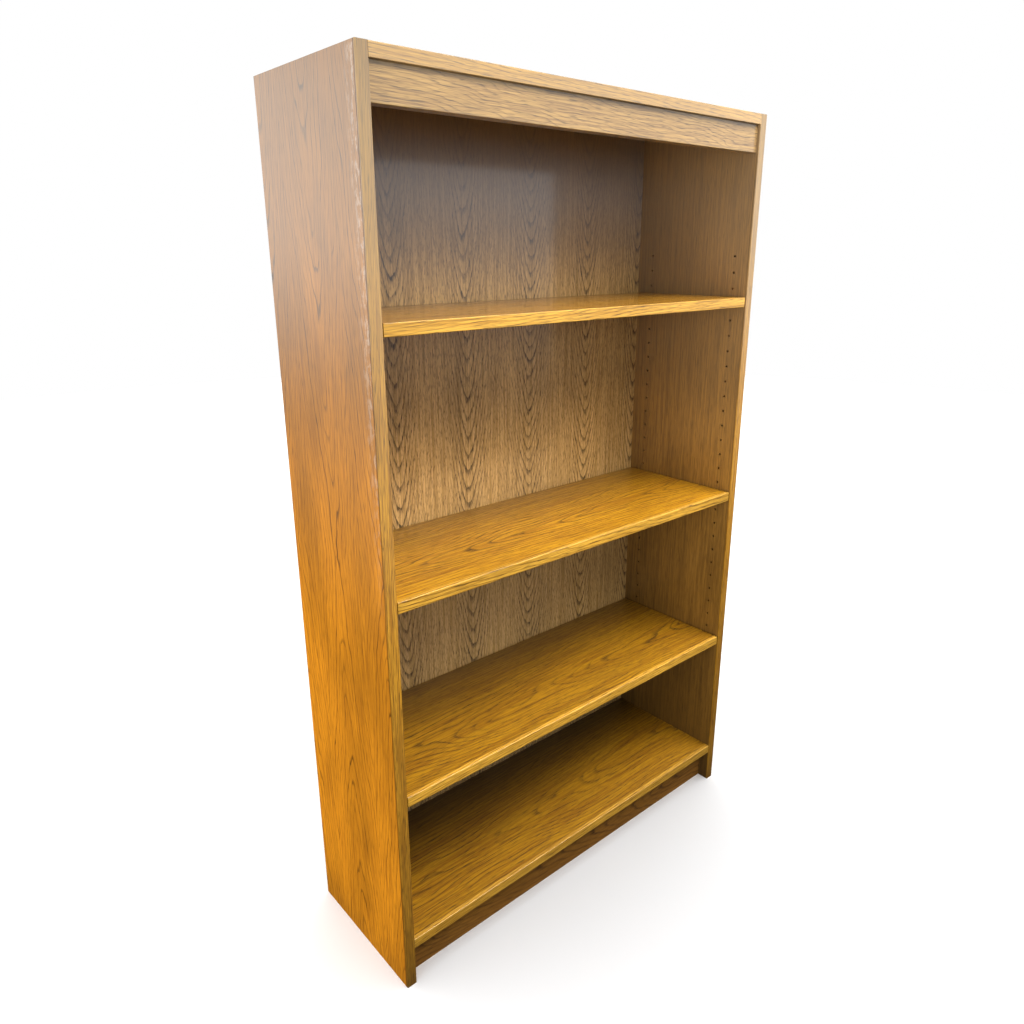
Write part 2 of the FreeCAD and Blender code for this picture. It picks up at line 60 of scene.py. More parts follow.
# Oak, as a solid texture in millimetres. A veneer leaf crosses the log's rings at a slant, so they
# show as nested arches down the leaf's middle, with straight grain on both sides of them. A pair of
# sizes is mm across and mm along the grain; heights are mm above the floor.
oak = {
    "leaf": 165.0,         # mm, width of one leaf of veneer
    "leafShift": 0.0,      # mm that the first joint between leaves is moved
    "aside": 0.0,          # mm from the arches to the leaf's middle; far aside, the grain is straight
    "ringWidth": 5.0,      # mm from ring to ring
    "slant": -0.070,       # mm of rings crossed in each mm; below zero, arches point down or left
    "turn": None,          # mm along the grain to where the arches turn and point the other way
    "tip": 15.0,           # mm; how blunt the arches are
    "reach": 60.0,         # mm from the arches' middle to where the rings are weakest
    "flank": 0.7,          # how strong they stay there
    "faintest": 0.4,       # how strong the weakest ring is
    "wander": 10.0,        # mm that the figure drifts sideways
    "wanderSize": (300.0, 480.0),
    "ripple": 4.0,         # mm that the rings ripple
    "rippleSize": (45.0, 170.0),
    "wobble": 0.30,        # how ragged a ring's line is, as a share of a ring
    "wobbleSize": (7.0, 60.0),
    "band": 0.75,          # how dark the ring's open vessels make it
    "bandShare": 0.30,     # share of a ring that is porous
    "unbroken": 0.72,      # how dark it stays between two vessels of the band
    "pores": 0.42,         # how dark the single vessels are
    "poresBetween": 0.5,   # how much of them is left between the bands
    "poreEdge": (0.50, 0.66),  # of the noise, from solid wood to open vessel
    "poreWidth": 1.5,      # mm; the real 0.3 mm vessels are drawn coarser, to show at this size
    "poreLength": 26.0,    # mm
    "fibreSize": (3.0, 150.0),  # bundles of fibres, drawn coarser than the fibre itself
    "fibreEdge": (0.36, 0.66),  # of the noise, from light to mid
    "cloudSize": (80.0, 260.0),
    "clouds": 0.12,        # how much the stain varies over a hand's breadth
    "light": "#D9A04A",
    "mid": "#C08532",
    "dark": "#6E4416",
    "tone": 1.0,           # how deep the colour is; below one, darker, as painted shade on the lower boards and their edging
    "paintedLowShade": 1.0,        # painted shade, darker towards the foot of the case
    "paintedLowShadeUpTo": 900.0,
    "paintedRearShade": 1.0,       # painted shade at the rear of a board, where the shelf above shades it
    "paintedRearShadeFrom": (-20.0, 140.0),  # mm, from where it starts to where it is deepest
    "paintedSheen": 0.0,          # how much painted sheen, a grey reflection of the room, lies on the top of the case
    "paintedSheenFrom": 600.0,
    "paintedSheenUpTo": 1450.0,
    "paintedSheenColour": "#B3A287",
    "innerUpTo": None,     # mm through the board; beyond it, the outer face gets neither painted sheen nor painted shade
    "dirt": 0.18,          # dust and boot marks next to the floor
    "dirtUpTo": 70.0,
    "dirtColour": "#3A2A18",
    "seam": None,          # mm across the grain to a glue line
    "seamDark": 0.55,
    "seamWide": 1.6,       # mm that the glue line's stain reaches
    "seamColour": "#2B1A0A",
    "scuffs": 0.0,         # worn lacquer beside the glue line
    "scuffReach": (3.0, 30.0),
    "scuffHeights": (650.0, 1150.0),
    "scuffSize": (9.0, 22.0),
    "scuffEdge": (0.47, 0.60),  # of the noise, from sound lacquer to worn
    "scuffColour": "#C9C3C0",
    "nicks": 0.0,          # small pale dents
    "nickSpacing": 38.0,   # mm
    "nickRim": (0.03, 0.07),  # of the spacing, from the nick's middle to its edge
    "nickChance": (0.55, 0.60),  # below this a place has no nick
    "nickColour": "#E9D2A0",
    "roughness": 0.45,
    "poreRoughness": 0.10,  # added in the open vessels
    "coat": 0.80,          # lacquer, rubbed to a soft gloss
    "coatRoughness": 0.12,
    "ior": 1.5,
    "bump": 0.08,          # mm that the open grain sinks under the lacquer
    "bumpStrength": 0.5,
    "seed": 1.0,
}
smooth = {"interpolation_type": "SMOOTHSTEP"}
mixed = {"data_type": "RGBA"}
plainNoise = {"Scale": 1.0, "Detail": 1.0}


def perMm(size):
    # How often a pattern repeats in each mm: across the grain, through the leaf and along the grain
    across, along = size
    return (1 / across, 1 / across, 1 / along)


def oakMaterial(name, grainAxis, acrossAxis, changes):
    # Oak under satin lacquer: dark broken lines of open vessels, pale dense wood between them, and a
    # soft shine that sinks a little at the vessels.
    look = {**oak, **changes}
    m = newMaterial(name)
    throughAxis = [a for a in "XYZ" if a not in (grainAxis, acrossAxis)][0]
    place = add(m, "TexCoord", output="Object")
    inMm = add(m, "VectorMath", {"operation": "SCALE", "Scale": 1 / mm}, {0: place})
    parts = add(m, "SeparateXYZ", {}, {0: inMm}, None).outputs
    across = parts[acrossAxis]
    through = parts[throughAxis]
    along = parts[grainAxis]
    height = parts["Z"]

    # The leaf that a point is on, and chances of that leaf's own.
    leaf = look["leaf"]
    leafCount = {"operation": "MULTIPLY_ADD", 1: 1 / leaf, 2: look["leafShift"] / leaf}
    leafPlace = add(m, "Math", leafCount, {0: across})
    leafNumber = add(m, "Math", {"operation": "FLOOR"}, {0: leafPlace})
    inLeaf = add(m, "Math", {"operation": "FRACT"}, {0: leafPlace})
    backToMm = {"operation": "MULTIPLY_ADD", 1: leaf, 2: look["aside"] - leaf / 2}
    fromMiddle = add(m, "Math", backToMm, {0: inLeaf})
    seedStep = 37  # keeps one material's leaves apart from the next one's
    leafSeed = add(m, "Math", {"operation": "ADD", 1: look["seed"] * seedStep}, {0: leafNumber})
    chances = add(m, "TexWhiteNoise", {"noise_dimensions": "1D"}, {"W": leafSeed}, "Color")
    chance = add(m, "SeparateColor", {}, {0: chances}, None).outputs
    wood = add(m, "CombineXYZ", {}, {0: across, 1: through, 2: along})
    apart = (700, 0, 900)  # mm, so that no two leaves are cut from the same wood
    own = add(m, "VectorMath", {"operation": "MULTIPLY_ADD", 1: apart}, {0: chances, 2: wood})

    # The figure drifts along the leaf, the rings ripple, and their lines are ragged.
    slow = add(m, "VectorMath", {"operation": "MULTIPLY", 1: perMm(look["wanderSize"])}, {0: own})
    drift = add(m, "TexNoise", plainNoise, {0: slow})
    wander = look["wander"]
    bothWays = {"operation": "MULTIPLY_ADD", 1: 2 * wander, 2: -wander}
    sideways = add(m, "Math", bothWays, {0: drift})
    middling = add(m, "VectorMath", {"operation": "MULTIPLY", 1: perMm(look["rippleSize"])}, {0: own})
    waves = add(m, "TexNoise", {"Scale": 1.0, "Detail": 2.0}, {0: middling})
    ripple = look["ripple"]
    inAndOut = {"operation": "MULTIPLY_ADD", 1: 2 * ripple, 2: -ripple}
    outwards = add(m, "Math", inAndOut, {0: waves})
    quick = add(m, "VectorMath", {"operation": "MULTIPLY", 1: perMm(look["wobbleSize"])}, {0: own})
    ragged = add(m, "TexNoise", {"Scale": 1.0, "Detail": 2.0, "Roughness": 0.6}, {0: quick})
    wobble = look["wobble"]
    toAndFro = {"operation": "MULTIPLY_ADD", 1: 2 * wobble, 2: -wobble}
    raggedRings = add(m, "Math", toAndFro, {0: ragged})

    # How far out in the log, counted in rings.
    leastSlant = 0.6  # of the slant, where a leaf's own chance adds nothing
    slants = {"operation": "MULTIPLY_ADD", 1: look["slant"], 2: look["slant"] * leastSlant}
    slant = add(m, "Math", slants, {0: chance[0]})
    run = along
    if look["turn"] is not None:
        past = add(m, "Math", {"operation": "SUBTRACT", 1: look["turn"]}, {0: along})
        run = add(m, "Math", {"operation": "ABSOLUTE"}, {0: past})
    climb = add(m, "Math", {"operation": "MULTIPLY_ADD"}, {0: run, 1: slant, 2: through})
    side = add(m, "Math", {"operation": "ADD"}, {0: fromMiddle, 1: sideways})
    ringPlace = add(m, "CombineXYZ", {1: look["tip"]}, {0: side})
    arch = add(m, "VectorMath", {"operation": "LENGTH"}, {0: ringPlace}, "Value")
    arched = add(m, "Math", {"operation": "ADD"}, {0: arch, 1: climb})
    outward = add(m, "Math", {"operation": "ADD"}, {0: arched, 1: outwards})
    ringCount = {"operation": "MULTIPLY_ADD", 1: 1 / look["ringWidth"]}
    rings = add(m, "Math", ringCount, {0: outward, 2: raggedRings})
    ringNumber = add(m, "Math", {"operation": "FLOOR"}, {0: rings})
    inRing = add(m, "Math", {"operation": "FRACT"}, {0: rings})
    ringSeed = add(m, "Math", {"operation": "ADD"}, {0: ringNumber, 1: leafSeed})
    ringChance = add(m, "TexWhiteNoise", {"noise_dimensions": "1D"}, {"W": ringSeed}, "Value")

    # A ring starts abruptly with its widest vessels, then closes into dense wood.
    onset = 0.08  # share of a ring in which the band starts
    trail = 0.1   # and in which its last vessels thin out
    crown = 5     # mm beyond the arch's tip with the rings at full strength
    start = add(m, "MapRange", {**smooth, 1: 0.0, 2: onset}, {0: inRing})
    closing = {**smooth, 1: onset, 2: look["bandShare"] + trail, 3: 1.0, 4: 0.0}
    close = add(m, "MapRange", closing, {0: inRing})
    strength = add(m, "MapRange", {3: look["faintest"], 4: 1.0}, {0: ringChance})
    weaker = {1: look["tip"] + crown, 2: look["reach"], 3: 1.0, 4: look["flank"]}
    middle = add(m, "MapRange", weaker, {0: arch})
    sharp = add(m, "Math", {"operation": "MULTIPLY"}, {0: start, 1: close})
    edge = add(m, "Math", {"operation": "MULTIPLY"}, {0: sharp, 1: middle})
    band = add(m, "Math", {"operation": "MULTIPLY"}, {0: edge, 1: strength})

    # Vessels cut lengthwise: dark dashes along the grain, thickest in the porous bands.
    poreScale = perMm((look["poreWidth"], look["poreLength"]))
    dashPlace = add(m, "VectorMath", {"operation": "MULTIPLY", 1: poreScale}, {0: own})
    dashNoise = add(m, "TexNoise", plainNoise, {0: dashPlace})
    poreFrom, poreTo = look["poreEdge"]
    dashes = add(m, "MapRange", {**smooth, 1: poreFrom, 2: poreTo}, {0: dashNoise})
    denseBand = 0.6  # a band this strong has all its vessels
    thinning = {1: 0.0, 2: denseBand, 3: look["poresBetween"], 4: 1.0}
    inBand = add(m, "MapRange", thinning, {0: band})
    pores = add(m, "Math", {"operation": "MULTIPLY"}, {0: dashes, 1: inBand})
    broken = add(m, "MapRange", {3: look["unbroken"], 4: 1.0}, {0: dashes})
    vessels = add(m, "Math", {"operation": "MULTIPLY"}, {0: band, 1: broken})

    # Fibres, the slow change of the stain, and painted shade: a whole board darker by its tone, darker
    # towards the foot and towards a board's rear.
    fibreScale = perMm(look["fibreSize"])
    fibrePlace = add(m, "VectorMath", {"operation": "MULTIPLY", 1: fibreScale}, {0: own})
    fibres = add(m, "TexNoise", {"Scale": 1.0, "Detail": 3.0, "Roughness": 0.65}, {0: fibrePlace})
    fibreFrom, fibreTo = look["fibreEdge"]
    fibreShare = add(m, "MapRange", {**smooth, 1: fibreFrom, 2: fibreTo}, {0: fibres})
    cloudScale = perMm(look["cloudSize"])
    cloudPlace = add(m, "VectorMath", {"operation": "MULTIPLY", 1: cloudScale}, {0: wood})
    clouds = add(m, "TexNoise", {"Scale": 1.0, "Detail": 2.0}, {0: cloudPlace})
    darkest = look["tone"] * (1 - look["clouds"])
    bleached = 0.6  # the stain gets less pale than it gets dark
    palest = look["tone"] * (1 + look["clouds"] * bleached)
    cloudTone = add(m, "MapRange", {1: 0.3, 2: 0.7, 3: darkest, 4: palest}, {0: clouds})
    # Painted shade: darker towards the foot of the case; where innerUpTo is given, on the inner face
    # alone.
    paintedLowShades = {1: 0, 2: look["paintedLowShadeUpTo"], 3: look["paintedLowShade"], 4: 1.0}
    paintedFootShade = add(m, "MapRange", paintedLowShades, {0: height})
    if look["innerUpTo"] is not None:
        inner = add(m, "Math", {"operation": "LESS_THAN", 1: look["innerUpTo"]}, {0: through})
        outer = add(m, "Math", {"operation": "GREATER_THAN", 1: look["innerUpTo"]}, {0: through})
        paintedFootShade = add(m, "Math", {"operation": "MAXIMUM"}, {0: paintedFootShade, 1: outer})
    shade = add(m, "Math", {"operation": "MULTIPLY"}, {0: cloudTone, 1: paintedFootShade})
    # Painted shade: darker towards the rear of a board, under the shelf above.
    if look["paintedRearShade"] < 1:
        rearFrom, rearTo = look["paintedRearShadeFrom"]
        paintedRearShades = {1: rearFrom, 2: rearTo, 3: 1.0, 4: look["paintedRearShade"]}
        paintedRearShade = add(m, "MapRange", paintedRearShades, {0: across})
        shade = add(m, "Math", {"operation": "MULTIPLY"}, {0: shade, 1: paintedRearShade})

    # The wood's own colour.
    light = toLinear(look["light"])
    mid = toLinear(look["mid"])
    dark = toLinear(look["dark"])
    bandShare = add(m, "Math", {"operation": "MULTIPLY", 1: look["band"]}, {0: vessels})
    poreShare = add(m, "Math", {"operation": "MULTIPLY", 1: look["pores"]}, {0: pores})
    ground = add(m, "Mix", {**mixed, 6: light, 7: mid}, {0: fibreShare}, 2)
    banded = add(m, "Mix", {**mixed, 7: dark}, {0: bandShare, 6: ground}, 2)
    pored = add(m, "Mix", {**mixed, 7: dark}, {0: poreShare, 6: banded}, 2)
    colour = add(m, "VectorMath", {"operation": "SCALE"}, {0: pored, "Scale": shade})

    # Painted sheen on the top of the case, then what the years have added: dirt, worn lacquer, a
    # stained glue line and nicks.
    if look["paintedSheen"]:
        paintedSheenRange = {**smooth, 1: look["paintedSheenFrom"], 2: look["paintedSheenUpTo"], 4: look["paintedSheen"]}
        high = add(m, "MapRange", paintedSheenRange, {0: height})
        if look["innerUpTo"] is not None:
            high = add(m, "Math", {"operation": "MULTIPLY"}, {0: high, 1: inner})
        paintedSheenColour = toLinear(look["paintedSheenColour"])
        colour = add(m, "Mix", {**mixed, 7: paintedSheenColour}, {0: high, 6: colour}, 2)
    if look["dirt"]:
        dirtying = {**smooth, 1: 0, 2: look["dirtUpTo"], 3: look["dirt"], 4: 0.0}
        low = add(m, "MapRange", dirtying, {0: height})
        dirtColour = toLinear(look["dirtColour"])
        colour = add(m, "Mix", {**mixed, 7: dirtColour}, {0: low, 6: colour}, 2)
    if look["seam"] is not None:
        away = add(m, "Math", {"operation": "SUBTRACT", 1: look["seam"]}, {0: across})
        offSeam = add(m, "Math", {"operation": "ABSOLUTE"}, {0: away})
    if look["scuffs"]:
        scuffFrom, scuffTo = look["scuffReach"]
        scuffing = {1: scuffFrom, 2: scuffTo, 3: look["scuffs"], 4: 0.0}
        nearArris = add(m, "MapRange", scuffing, {0: offSeam})
        scuffLow, scuffHigh = look["scuffHeights"]
        upper = add(m, "MapRange", {**smooth, 1: scuffLow, 2: scuffHigh}, {0: height})
        patchScale = perMm(look["scuffSize"])
        patchPlace = add(m, "VectorMath", {"operation": "MULTIPLY", 1: patchScale}, {0: wood})
        patchNoise = {"Scale": 1.0, "Detail": 6.0, "Roughness": 0.75}
        patches = add(m, "TexNoise", patchNoise, {0: patchPlace})
        patchFrom, patchTo = look["scuffEdge"]
        patch = add(m, "MapRange", {**smooth, 1: patchFrom, 2: patchTo}, {0: patches})
        worn = add(m, "Math", {"operation": "MULTIPLY"}, {0: nearArris, 1: upper})
        wornShare = add(m, "Math", {"operation": "MULTIPLY"}, {0: worn, 1: patch})
        scuffColour = toLinear(look["scuffColour"])
        colour = add(m, "Mix", {**mixed, 7: scuffColour}, {0: wornShare, 6: colour}, 2)
    if look["seam"] is not None:
        wide = look["seamWide"]
        seamLook = {**smooth, 1: wide / 4, 2: wide, 3: look["seamDark"], 4: 0.0}
        seamShare = add(m, "MapRange", seamLook, {0: offSeam})
        seamColour = toLinear(look["seamColour"])
        colour = add(m, "Mix", {**mixed, 7: seamColour}, {0: seamShare, 6: colour}, 2)
    if look["nicks"]:
        nickScale = {"operation": "SCALE", "Scale": 1 / look["nickSpacing"]}
        nickPlace = add(m, "VectorMath", nickScale, {0: wood})
        spots = add(m, "TexVoronoi", {"Scale": 1.0}, {"Vector": nickPlace}, None)
        rimFrom, rimTo = look["nickRim"]
        spotRim = {**smooth, 1: rimFrom, 2: rimTo, 3: 1.0, 4: 0.0}
        spot = add(m, "MapRange", spotRim, {0: spots.outputs[0]})
        spotChance = add(m, "SeparateColor", {}, {0: spots.outputs[1]})
        chanceFrom, chanceTo = look["nickChance"]
        picking = {1: chanceFrom, 2: chanceTo, 4: look["nicks"]}
        few = add(m, "MapRange", picking, {0: spotChance})
        nickShare = add(m, "Math", {"operation": "MULTIPLY"}, {0: spot, 1: few})
        nickColour = toLinear(look["nickColour"])
        colour = add(m, "Mix", {**mixed, 7: nickColour}, {0: nickShare, 6: colour}, 2)

    sink = add(m, "Math", {"operation": "ADD"}, {0: pores, 1: vessels})
    sinking = {"invert": True, "Strength": look["bumpStrength"], "Distance": look["bump"] * mm}
    bump = add(m, "Bump", sinking, {"Height": sink})
    roughening = {"operation": "MULTIPLY_ADD", 1: look["poreRoughness"], 2: look["roughness"]}
    rough = add(m, "Math", roughening, {0: pores})
    gloss = {
        "Coat Weight": look["coat"],
        "Coat Roughness": look["coatRoughness"],
        "IOR": look["ior"],
    }
    surface = {"Base Color": colour, "Roughness": rough, "Normal": bump}
    shader = add(m, "BsdfPrincipled", gloss, surface)
    add(m, "OutputMaterial", {}, {"Surface": shader}, None)
    return m


def dress(names, material):
    for name in names:
        piece = nodes[name]
        if not piece.material_slots:
            piece.data.materials.append(material)
        for slot in piece.material_slots:
            slot.material = material


# The sides: flat-cut veneer on the left, its arches pointing down above the turn and up below it,
# and straight-grained veneer on the right.
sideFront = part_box("left_side")[0][1] / mm
# Both sides carry painted sheen high up; the right side's inner face also carries painted shade,
# darkest at its foot.
sides = {
    "left": {
        "light": "#D28E1E", "mid": "#B07218", "dark": "#3E1E04", "ringWidth": 9.0, "slant": -0.17,
        "turn": 780.0, "tip": 15.0, "leaf": 150.0, "leafShift": 75.0, "wander": 22.0, "ripple": 15.0,
        "rippleSize": (44.0, 170.0), "wobble": 0.11, "band": 1.0, "bandShare": 0.19, "faintest": 0.4,
        "flank": 0.85, "reach": 110.0, "pores": 0.45, "paintedSheen": 0.52, "paintedSheenColour": "#7A8486",
        "seam": sideFront, "seamWide": 3.6, "seamDark": 0.7, "scuffs": 0.55, "clouds": 0.24,
        "seed": 3.0,
    },
    "right": {
        "light": "#A27A36", "mid": "#82602A", "dark": "#38240C", "ringWidth": 3.4, "slant": 0.012,
        "aside": 240.0, "leaf": 400.0, "leafShift": 180.0, "wander": 14.0, "ripple": 3.0, "band": 0.4,
        "pores": 0.6, "paintedSheen": 0.45, "paintedSheenColour": "#8E8678", "seam": sideFront, "paintedLowShade": 0.20,
        "innerUpTo": 440.0, "seed": 5.0,
    },
}
for side, look in sides.items():
    sideOak = oakMaterial(f"oakVeneer_{side}Side", "Z", "Y", look)
    dress((f"{side}_side",), sideOak)

# The back: narrow leaves of a greyer oak, the grey partly painted sheen, their arches pointing down; a
# stronger painted sheen high up, and painted shade towards its foot.
back = {
    "light": "#D2AE72", "mid": "#A8874E", "dark": "#2A1A0A", "ringWidth": 7.0, "slant": -0.150,
    "tip": 15.0, "flank": 0.25, "reach": 52.0, "faintest": 0.55, "leaf": 165.0, "leafShift": -12.5,
    "wander": 9.0, "ripple": 5.0, "rippleSize": (40.0, 150.0), "wobble": 0.15, "band": 1.0,
    "bandShare": 0.44, "pores": 0.80, "poreWidth": 1.7, "poreLength": 10.0, "paintedSheen": 0.80,
    "paintedSheenFrom": 1130, "paintedSheenColour": "#90939C", "paintedLowShade": 0.72, "innerUpTo": 143.0,
    "seed": 2.0,
}
backOak = oakMaterial("oakVeneer_back", "Z", "X", back)
dress(("back_panel",), backOak)

# The boards that lie flat: one wide leaf each, amber under the lamp. A painted shade for each
# board, deeper on the lower ones, and a deeper painted shade at its rear.
boards = {
    "light": "#BC8E12", "mid": "#946406", "dark": "#301A04", "ringWidth": 8.0, "slant": -0.110,
    "tip": 22.0, "leaf": 330.0, "leafShift": 205.0, "wander": 40.0, "ripple": 22.0,
    "rippleSize": (70.0, 230.0), "band": 1.0, "wobble": 0.12, "bandShare": 0.34, "faintest": 0.35,
    "flank": 0.55, "reach": 130.0, "pores": 0.6, "poreLength": 18.0, "dirt": 0.0,
}
paintedBoardShades = {
    "top_board": (1.0, 1.0), "upper_shelf": (1.0, 1.0), "middle_shelf": (0.92, 0.70),
    "lower_shelf": (0.60, 0.60), "bottom_shelf": (0.52, 0.42),
}
for number, board in enumerate(paintedBoardShades):
    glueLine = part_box(board)[0][1] / mm
    tone, paintedRearShade = paintedBoardShades[board]
    changes = {
        **boards, "seam": glueLine, "seamDark": 0.35, "tone": tone, "paintedRearShade": paintedRearShade,
        "seed": 11.0 + number,
    }
    boardOak = oakMaterial(f"oakVeneer_{board}", "X", "Y", changes)
    dress((board,), boardOak)
kick = {
    **boards, "light": "#8C6224", "mid": "#76501A", "dirt": 0.35, "leaf": 200.0,
    "leafShift": 60.0, "seed": 24.0,
}
kickOak = oakMaterial("oakVeneer_kick", "X", "Z", kick)
dress(("kick_board",), kickOak)

# Solid oak: the header rail and the edging, paler than the veneer, with small nicks, painted sheen high
# up and painted shade on the lower edging.
edging = {
    "light": "#D8AC42", "mid": "#B68A2C", "dark": "#4A2E0C", "ringWidth": 5.0, "slant": -0.060,
    "tip": 20.0, "leaf": 260.0, "leafShift": 130.0, "aside": 30.0, "wander": 8.0, "ripple": 5.0,
    "rippleSize": (26.0, 110.0), "band": 0.85, "pores": 0.55, "dirt": 0.0, "paintedSheenFrom": 1200,
    "paintedSheenColour": "#A09A94",
}
header = {
    **edging, "light": "#BC9A56", "mid": "#8E6E3C", "dark": "#342008", "ringWidth": 6.0,
    "slant": -0.100, "ripple": 14.0, "rippleSize": (34.0, 120.0), "aside": 0.0, "wander": 14.0,
    "reach": 70.0, "band": 1.0, "bandShare": 0.36, "faintest": 0.55, "pores": 0.75, "paintedSheen": 0.2,
    "seed": 31.0,
}
headerOak = oakMaterial("oakSolid_header", "X", "Z", header)
dress(("header_rail",), headerOak)
upright = {
    **edging, "light": "#C4942E", "mid": "#9A6C1E", "dark": "#382208", "band": 1.0, "pores": 0.75,
    "ringWidth": 4.2, "faintest": 0.6, "paintedSheen": 0.6, "paintedSheenFrom": 600,
    "paintedSheenColour": "#8E8878", "dirt": 0.3,
    "paintedLowShade": 0.38, "nicks": 0.8, "seed": 33.0,
}
uprightOak = oakMaterial("oakSolid_uprightEdging", "Z", "X", upright)
dress(("left_side_lipping", "right_side_lipping"), uprightOak)
# Painted shade: the lower the board, the darker its edging.
paintedEdgeShades = {
    "top_board": 1.0, "upper_shelf": 1.0, "middle_shelf": 0.82, "lower_shelf": 0.78,
    "bottom_shelf": 0.60,
}
for number, board in enumerate(paintedEdgeShades):
    level = {
        **edging, "dark": "#3A2408", "band": 1.0, "pores": 0.7, "faintest": 0.55, "paintedSheen": 0.42,
        "tone": paintedEdgeShades[board], "seed": 35.0 + number,
    }
    levelOak = oakMaterial(f"oakSolid_{board}_edging", "X", "Z", level)
    dress((f"{board}_lipping",), levelOak)
print("oak: sides, back, boards and edging")

# Out of sight: sawn pine, turned beech.
bareWood = {
    "coat": 0.0, "roughness": 0.7, "dirt": 0.0, "band": 0.35, "pores": 0.1, "leaf": 300.0,
    "leafShift": 150.0,
}
pine = {**bareWood, "light": "#D8B98A", "mid": "#C9A470", "dark": "#A87B48"}
beech = {
    **bareWood, "light": "#D9B48A", "mid": "#CDA274", "dark": "#A77A4C", "ringWidth": 2.5,
    "band": 0.2,
}
dress(("base_rail", "glue_blocks"), oakMaterial("pineSawn", "X", "Z", pine))
dowels = [name for name in nodes if name.endswith("_dowels")]
dress(dowels, oakMaterial("beechTurned", "X", "Z", beech))

# Two colours, the roughness of each, and the size of the mottle in mm.
metals = {
    "steelZincPlated": {"colours": ("#B9B9B4", "#8F8F8A"), "roughness": (0.28, 0.44), "mottle": 3.0},
    "steelBrightDrawn": {"colours": ("#8A8A88", "#6A6A68"), "roughness": (0.36, 0.52), "mottle": 2.0},
}


def metalMaterial(name):
    # Plated or drawn steel: grey, slightly mottled, with a soft glint.
    look = metals[name]
    m = newMaterial(name)
    place = add(m, "TexCoord", output="Object")
    mottling = {"Scale": 1 / (look["mottle"] * mm), "Detail": 3.0}
    mottle = add(m, "TexNoise", mottling, {"Vector": place})
    low, high = look["roughness"]
    rough = add(m, "MapRange", {1: 0.3, 2: 0.7, 3: low, 4: high}, {0: mottle})
    bright, dull = [toLinear(code) for code in look["colours"]]
    colour = add(m, "Mix", {**mixed, 6: bright, 7: dull}, {0: mottle}, 2)
    shader = add(m, "BsdfPrincipled", {"Metallic": 1.0}, {"Base Color": colour, "Roughness": rough})
    add(m, "OutputMaterial", {}, {"Surface": shader}, None)
    return m


supports = [name for name in nodes if name.startswith("support_")]
dress(supports, metalMaterial("steelZincPlated"))
nails = [name for name in nodes if name.endswith("_nails")]
dress(nails, metalMaterial("steelBrightDrawn"))
print("materials:", len(bpy.data.materials))

studio = {
    "floorRadius": 7.0,            # m
    "floorCorners": 64,
    "floorColours": ("#FAFAFA", "#FFFFFF"),
    "floorClouds": 1.25,           # m, size of the change of tone
    "floorLight": 3.9,             # W on each square metre, on the floor alone, which keeps it white
    "floorLightSpread": 100.0,     # degrees
    "backdrop": "#FFFFFF",
    "windows": ("#E6E8EA", 1.75),  # the room's own light: a bright band at the horizon
    "sill": (-0.20, 0.04),         # the band's lower edge, as the sine of its elevation
    "head": (0.16, 0.34),          # and its upper edge
    "ceiling": ("#E6E9F0", 0.18),  # above the band
    "ground": ("#4A3622", 0.3),    # and below
}
# Name: power in W, size in m, place, aim, colour, spread in degrees.
lamps = {
    "ceilingPanel": (42.0, (2.6, 1.2), (0.5, -1.0, 2.2), (0.1, -0.14, 0.3), "#FFEFD8", 80.0),
    "leftPanel": (190.0, (2.0, 1.6), (-4.0, -0.5, 0.7), (-0.45, 0.0, 0.5), "#FFEFD8", 180.0),
}


def floorMaterial():
    # White studio paint, rolled: matt, with a very slow change of tone.
    m = newMaterial("paintWhiteRolled")
    place = add(m, "TexCoord", output="Object")
    clouds = {"Scale": 1 / studio["floorClouds"], "Detail": 2.0}
    cloud = add(m, "TexNoise", clouds, {"Vector": place})
    pale, white = [toLinear(code) for code in studio["floorColours"]]
    colour = add(m, "Mix", {**mixed, 6: pale, 7: white}, {0: cloud}, 2)
    matt = {"Roughness": 0.9, "Specular IOR Level": 0.1}
    shader = add(m, "BsdfPrincipled", matt, {"Base Color": colour})
    add(m, "OutputMaterial", {}, {"Surface": shader}, None)
    return m


def addFloor():
    corners = studio["floorCorners"]
    radius = studio["floorRadius"]
    turns = [2 * math.pi * i / corners for i in range(corners)]
    rim = [(radius * math.cos(turn), radius * math.sin(turn), 0.0) for turn in turns]
    mesh = bpy.data.meshes.new("studioFloor")
    mesh.from_pydata(rim, [], [tuple(range(corners))])
    mesh.materials.append(floorMaterial())
    floor = bpy.data.objects.new("studioFloor", mesh)
    bpy.context.scene.collection.objects.link(floor)
    floor.visible_diffuse = False  # the white floor would light the shaded undersides
    floor.visible_glossy = False
    onlyFloor = bpy.data.collections.new("onlyFloor")
    onlyFloor.objects.link(floor)
    notFloor = bpy.data.collections.new("notFloor")
    notFloor.objects.link(floor)
    notFloor.collection_objects[0].light_linking.link_state = "EXCLUDE"
    light = bpy.data.lights.new("floorLight", "SUN")
    light.energy = studio["floorLight"]
    light.angle = math.radians(studio["floorLightSpread"])
    holder = bpy.data.objects.new("floorLight", light)
    bpy.context.scene.collection.objects.link(holder)
    holder.location = (0.0, 0.0, 3.0)
    holder.light_linking.receiver_collection = onlyFloor


def addLamp(name):
    power, size, place, aim, colour, spread = lamps[name]
    light = bpy.data.lights.new(name, "AREA")
    light.shape = "RECTANGLE"
    light.size, light.size_y = size
    light.energy = power
    light.spread = math.radians(spread)
    light.color = toLinear(colour)[:3]
    holder = bpy.data.objects.new(name, light)
    bpy.context.scene.collection.objects.link(holder)
    holder.location = place
    holder.rotation_euler = (Vector(aim) - Vector(place)).to_track_quat("-Z", "Y").to_euler()
    holder.visible_camera = False
    holder.visible_glossy = name != "leftPanel"  # or its square shows in the side's lacquer
    holder.light_linking.receiver_collection = bpy.data.collections["notFloor"]


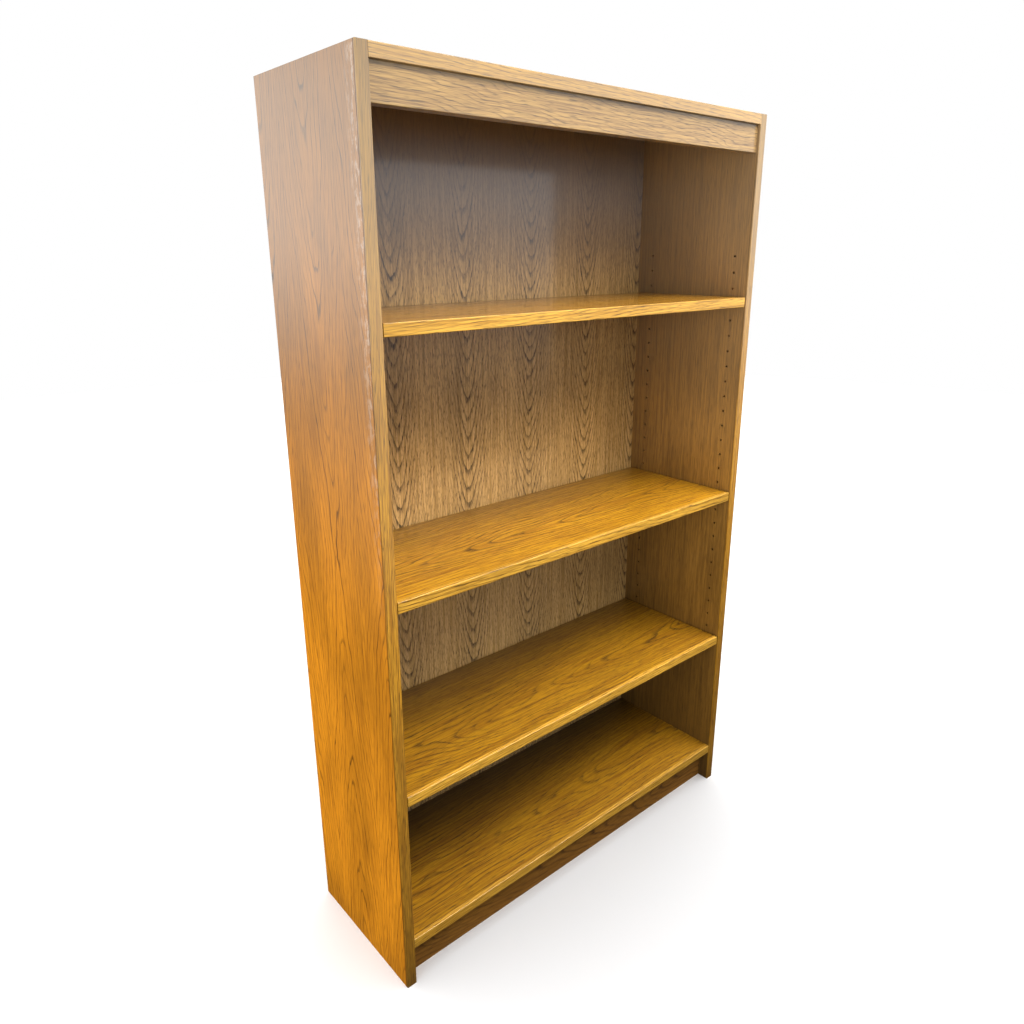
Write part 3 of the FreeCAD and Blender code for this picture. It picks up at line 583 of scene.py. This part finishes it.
def addWorld():
    # White behind the bookcase; for its own light, a room with windows all round at eye level.
    world = bpy.data.worlds.new("studioWorld")
    bpy.context.scene.world = world
    world.use_nodes = True
    world.node_tree.nodes.clear()
    tone = {}
    for part in ("windows", "ceiling", "ground"):
        colour, strength = studio[part]
        tone[part] = [c * strength for c in toLinear(colour)[:3]] + [1.0]
    direction = add(world, "TexCoord", output="Generated")
    upward = add(world, "SeparateXYZ", {}, {0: direction}, "Z")
    sillFrom, sillTo = studio["sill"]
    overSill = add(world, "MapRange", {**smooth, 1: sillFrom, 2: sillTo}, {0: upward})
    headFrom, headTo = studio["head"]
    overHead = add(world, "MapRange", {**smooth, 1: headFrom, 2: headTo}, {0: upward})
    underHead = {**mixed, 6: tone["ground"], 7: tone["windows"]}
    lower = add(world, "Mix", underHead, {0: overSill}, 2)
    room = add(world, "Mix", {**mixed, 7: tone["ceiling"]}, {0: overHead, 6: lower}, 2)
    seen = add(world, "LightPath", output="Is Camera Ray")
    backdrop = toLinear(studio["backdrop"])
    shown = add(world, "Mix", {**mixed, 7: backdrop}, {0: seen, 6: room}, 2)
    background = add(world, "Background", {"Strength": 1.0}, {"Color": shown})
    add(world, "OutputWorld", {}, {"Surface": background}, None)


camera = {
    "place": (-1.0032, -1.0805, 1.2544),
    "forward": (0.6230, 0.7231, -0.2982),
    "right": (0.7569, -0.6535, -0.0034),
    "lens": 27.545,                # mm, on a sensor 36 mm wide
    "shift": (-0.0011, -0.0175),
}


def addCamera():
    lens = bpy.data.cameras.new("studioCamera")
    lens.lens = camera["lens"]
    lens.sensor_width = 36.0
    lens.shift_x, lens.shift_y = camera["shift"]
    holder = bpy.data.objects.new("studioCamera", lens)
    bpy.context.scene.collection.objects.link(holder)
    back = -Vector(camera["forward"]).normalized()
    right = Vector(camera["right"]).normalized()
    up = back.cross(right).normalized()
    turn = Matrix((right, up, back)).transposed().to_4x4()
    holder.matrix_world = Matrix.Translation(camera["place"]) @ turn
    bpy.context.scene.camera = holder


addFloor()
addWorld()
for name in lamps:
    addLamp(name)
addCamera()
bpy.context.scene.view_settings.view_transform = "Standard"
print("studio: floor,", len(lamps), "lamps and camera")
